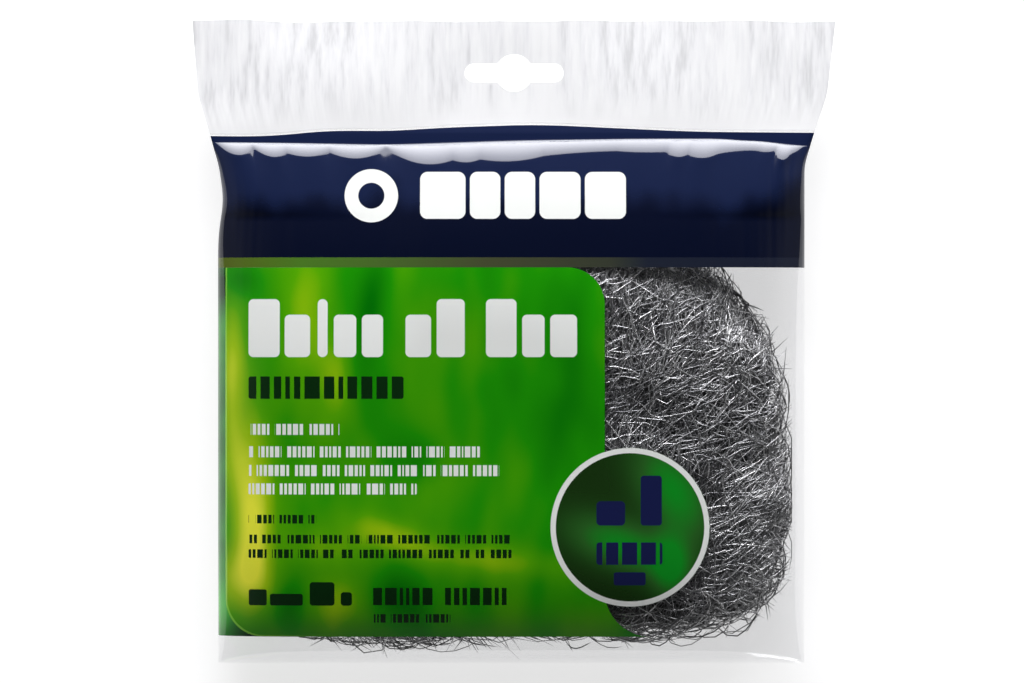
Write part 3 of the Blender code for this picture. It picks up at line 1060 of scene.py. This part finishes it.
def strand_paths(count, rng, front_share):
    """Paths of many strands as an array (strand, step, xyz), and each strand's depth in the pad.
    """
    fringe = rng.random(count) < 0.10
    reach = np.where(fringe, rng.uniform(0.93, 1.0, count), rng.uniform(0, 1.03, count) ** 0.5)
    spoke = rng.uniform(0, 2 * math.pi, count)
    power = np.where(np.sin(spoke) > 0, PAD_TOP_CORNERS, PAD_FOOT_CORNERS)
    out_x = np.sign(np.cos(spoke)) * np.abs(np.cos(spoke)) ** (2 / power)
    out_y = np.sign(np.sin(spoke)) * np.abs(np.sin(spoke)) ** (2 / power)
    start_x = PAD_CENTRE[0] + reach * out_x * PAD_HALF[0]
    start_y = PAD_CENTRE[1] + reach * out_y * PAD_HALF[1]
    length = rng.gamma(4.0, 6.5 * MM, count).clip(9 * MM, 60 * MM)
    length = np.where(fringe, length * 0.7, length)
    curl = fringe | (rng.random(count) < 0.18)
    bend = rng.normal(0, np.where(curl, 90.0, 26.0), count)
    waver = rng.uniform(0.05, 0.45, count)
    waves = rng.uniform(0.6, 1.8, count)
    phase = rng.uniform(0, 2 * math.pi, count)
    heading = flow(start_x, start_y) + rng.normal(0, 0.62, count)
    around = np.arctan2(out_x * PAD_HALF[1], -out_y * PAD_HALF[0])
    follows = rng.random(count) < np.clip((reach - 0.80) / 0.2, 0, 1) * 0.7
    heading = np.where(follows, around + rng.normal(0, 0.45, count), heading)
    along = np.linspace(-0.5, 0.5, STEPS)
    s = along[None, :] * length[:, None]
    turn = heading[:, None] + bend[:, None] * s
    turn = turn + waver[:, None] * np.sin(along[None, :] * waves[:, None] * 6.3 + phase[:, None])
    step = length[:, None] / (STEPS - 1)
    x = start_x[:, None] + np.cumsum(np.cos(turn) * step, axis=1)
    y = start_y[:, None] + np.cumsum(np.sin(turn) * step, axis=1)
    limit = np.where(fringe, 1.035, 1.0) - rng.exponential(0.025, count)
    excess = np.clip(pad_radius(x, y).max(axis=1) - limit, 0, None)
    middle = STEPS // 2
    pull = (excess / (pad_radius(x, y)[:, middle] + 0.1))[:, None]
    x, y = (x - pull * (x[:, middle:middle + 1] - PAD_CENTRE[0]),
            y - pull * (y[:, middle:middle + 1] - PAD_CENTRE[1]))
    x = np.clip(x, BODY_SHIFT - BAG_INNER_X, BODY_SHIFT + BAG_INNER_X)
    deep = 1 - rng.exponential(0.10, count)
    side = np.where(rng.random(count) < front_share, 1.0, -1.0)
    layer = side * np.clip(deep, -0.2, 1.0)
    weave = 0.07 * np.sin(along[None, :] * 9 + phase[:, None] * 2) - 0.05
    z = pad_height(x, y, np.clip(layer[:, None] + side[:, None] * weave, -1, 1))
    return np.stack([x, y, z], axis=-1), 1 - deep


def tubes(paths, radii):
    """Carry a three-sided ring along each path and close both ends in a point."""
    count = len(paths)
    tangent = np.gradient(paths, axis=1)
    tangent /= np.linalg.norm(tangent, axis=-1, keepdims=True) + 1e-12
    sideways = np.cross(tangent, (0.0, 0.0, 1.0))
    sideways /= np.linalg.norm(sideways, axis=-1, keepdims=True) + 1e-12
    upwards = np.cross(sideways, tangent)
    taper = 1 - 0.75 * np.abs(np.linspace(-1, 1, STEPS)) ** 6
    size = radii[:, None] * taper[None, :]
    turn = np.arange(SIDES) * 2 * math.pi / SIDES + math.pi / 6
    ring = (sideways[:, :, None] * np.cos(turn)[:, None] + upwards[:, :, None]
            * np.sin(turn)[:, None]) * size[:, :, None, None]
    body = (paths[:, :, None] + ring).reshape(count, STEPS * SIDES, 3)
    tips = paths[:, [0, -1]] + tangent[:, [0, -1]] * np.array([-2.0, 2.0])[None, :, None] \
        * radii[:, None, None]
    points = np.concatenate([body, tips], axis=1)
    index = np.arange(STEPS * SIDES).reshape(STEPS, SIDES)
    after = np.roll(index, -1, axis=1)
    first = np.stack([index[:-1], after[:-1], after[1:]], axis=-1).reshape(-1, 3)
    second = np.stack([index[:-1], after[1:], index[1:]], axis=-1).reshape(-1, 3)
    start = np.stack([after[0], index[0], np.full(SIDES, STEPS * SIDES)], axis=-1)
    end = np.stack([index[-1], after[-1], np.full(SIDES, STEPS * SIDES + 1)], axis=-1)
    pattern = np.concatenate([first, second, start, end])
    per_strand = STEPS * SIDES + 2
    faces = pattern[None] + (np.arange(count) * per_strand)[:, None, None]
    return points.reshape(-1, 3), faces.reshape(-1, 3), per_strand


def make_strands(name, count, seed, front_share, material):
    rng = np.random.default_rng(seed)
    paths, depth = strand_paths(count, rng, front_share)
    radii = rng.uniform(0.13, 0.25, count) * MM
    # A random tone per strand, darkened by painted shade the deeper the strand lies in the pad.
    tone_and_depth_shade = (0.15 + 0.85 * rng.beta(0.9, 0.9, count)) * np.exp(-depth / 0.20)
    points, faces, per_strand = tubes(paths, radii)
    piece = new_piece(name, points, faces, material)
    attribute = piece.data.attributes.new("tone_and_depth_shade", 'FLOAT', 'POINT')
    attribute.data.foreach_set("value", np.repeat(tone_and_depth_shade, per_strand).astype(np.float32))
    print(name, "strands:", count, "triangles:", len(faces))
    return piece


steel = strand_material()
strand_layers = [make_strands(f"steel_strands_{layer + 1}", 4200, 100 + layer, share, steel)
                 for layer, share in enumerate((0.97, 0.95, 0.5))]

# %% [markdown]
# ## Join the pieces to the frame
#
# Every piece rides on the one body, and the CAD solid it covers is hidden. The two webs and
# the header are sheets of film, and the wool is a padded piece.

for piece in (bag_front, bag_back, bag_header):
    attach(piece, "root")
    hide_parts("bag")
for piece in (pad_shade_core, *strand_layers):
    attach(piece, "root")
    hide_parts("steel_wool_pad")

# %% [markdown]
# ## Floor, light and camera
#
# The bag lies on a white floor and the camera looks straight down with a long lens, which
# shows it square on. Film mirrors whatever stands where the mirrored view ray goes. Over the
# flat face that is straight up, so nothing bright may hang there. A low, wide panel beyond the
# header puts the bright bar on the slope below the seal.

# %% Floor
def floor_material():
    material, tree, output = new_material("white_floor")
    place = add_node(tree, "TexCoord").outputs["Object"]
    grain = ranged(tree, noise(tree, place, 40.0), 0.3, 0.7, 0.49, 0.51)
    white = add_node(tree, "CombineColor", (grain, grain, grain)).outputs[0]
    matte = add_node(tree, "BsdfPrincipled", {
        "Base Color": white, "Roughness": 0.9, "Specular IOR Level": 0.1,
        "Emission Color": (1, 1, 1, 1), "Emission Strength": 0.72})
    wire(tree, output.inputs["Surface"], matte.outputs[0])
    return material


FLOOR_HALF = 12.0
corners = np.array([(-1, -1, 0), (1, -1, 0), (1, 1, 0), (-1, 1, 0)]) * FLOOR_HALF
floor = new_piece("floor", corners, [(0, 1, 2, 3)], floor_material())


# %% Lights
def soft_panel(name, place, size, glow_level, colour=(1, 1, 1)):
    """A rectangular light turned to face the bag; its level is light per square metre."""
    light = bpy.data.lights.new(name, 'AREA')
    light.shape = 'RECTANGLE'
    light.size, light.size_y = size
    light.energy = glow_level * size[0] * size[1] * math.pi
    light.color = colour
    panel = bpy.data.objects.new(name, light)
    panel.location = place
    panel.rotation_euler = (-Vector(place)).to_track_quat('-Z', 'Y').to_euler()
    panel.visible_camera = False
    bpy.context.scene.collection.objects.link(panel)
    return panel


def fade_upwards(panel, top_level, base_level):
    """Make a panel brightest along its lower side: level = top + (base - top) x height^2."""
    light = panel.data
    light.use_nodes = True
    tree = light.node_tree
    emission = next(node for node in tree.nodes if node.type == 'EMISSION')
    place = add_node(tree, "NewGeometry").outputs["Parametric"]
    low = maths(tree, 'SUBTRACT', 1.0, add_node(tree, "SeparateXYZ", (place,)).outputs[1])
    rise = maths(tree, 'MULTIPLY', low, low)
    level = maths(tree, 'MULTIPLY_ADD', rise, base_level - top_level, top_level)
    wire(tree, emission.inputs["Strength"], level)


header_panel = soft_panel("header_panel", (0.0, 2.19, 0.98), (2.8, 1.56), 1.0, (0.97, 0.97, 1.0))
fade_upwards(header_panel, 5.4, 17.0)

# %% Surroundings
def make_world():
    """White past the floor; for light and reflections, grey low down and dark overhead."""
    world = bpy.data.worlds.new("studio")
    world.use_nodes = True
    tree = world.node_tree
    tree.nodes.clear()
    direction = add_node(tree, "TexCoord").outputs["Generated"]
    parts = add_node(tree, "SeparateXYZ", (direction,)).outputs
    overhead = ranged(tree, parts[2], 0.6, 0.93, 0.16, 0.015)
    beyond = maths(tree, 'MULTIPLY', ranged(tree, parts[1], 0.2, 0.8, smooth=True),
                   ranged(tree, parts[2], 0.3, 0.7, 1.0, 0.0))
    level = maths(tree, 'ADD', overhead, beyond)
    seen = add_node(tree, "Background", {"Color": (1, 1, 1, 1), "Strength": 1.0}).outputs[0]
    dim = add_node(tree, "Background", {"Color": (1, 1, 1, 1), "Strength": level}).outputs[0]
    path = add_node(tree, "LightPath").outputs["Is Camera Ray"]
    both = add_node(tree, "MixShader", (path, dim, seen)).outputs[0]
    output = tree.nodes.new("ShaderNodeOutputWorld")
    wire(tree, output.inputs["Surface"], both)
    return world


bpy.context.scene.world = make_world()
bpy.context.scene.view_settings.view_transform = 'Standard'

# %% Camera
PICTURE_WIDTH = 1024
MM_PER_DOT = 0.3232
CAMERA_DISTANCE = 2.0
SENSOR = 36.0


def make_camera():
    """Straight above the bag: focal length is sensor width times distance over the width seen."""
    camera = bpy.data.cameras.new("camera")
    width_seen = PICTURE_WIDTH * MM_PER_DOT * MM
    camera.sensor_width = SENSOR
    camera.lens = SENSOR * CAMERA_DISTANCE / width_seen
    camera.clip_start = 0.1
    camera.clip_end = 40.0
    placed = bpy.data.objects.new("camera", camera)
    placed.location = (-0.65 * MM, 0.0, CAMERA_DISTANCE + 9 * MM)
    bpy.context.scene.collection.objects.link(placed)
    bpy.context.scene.camera = placed
    return placed


camera = make_camera()
print("lens, mm:", round(camera.data.lens, 1))
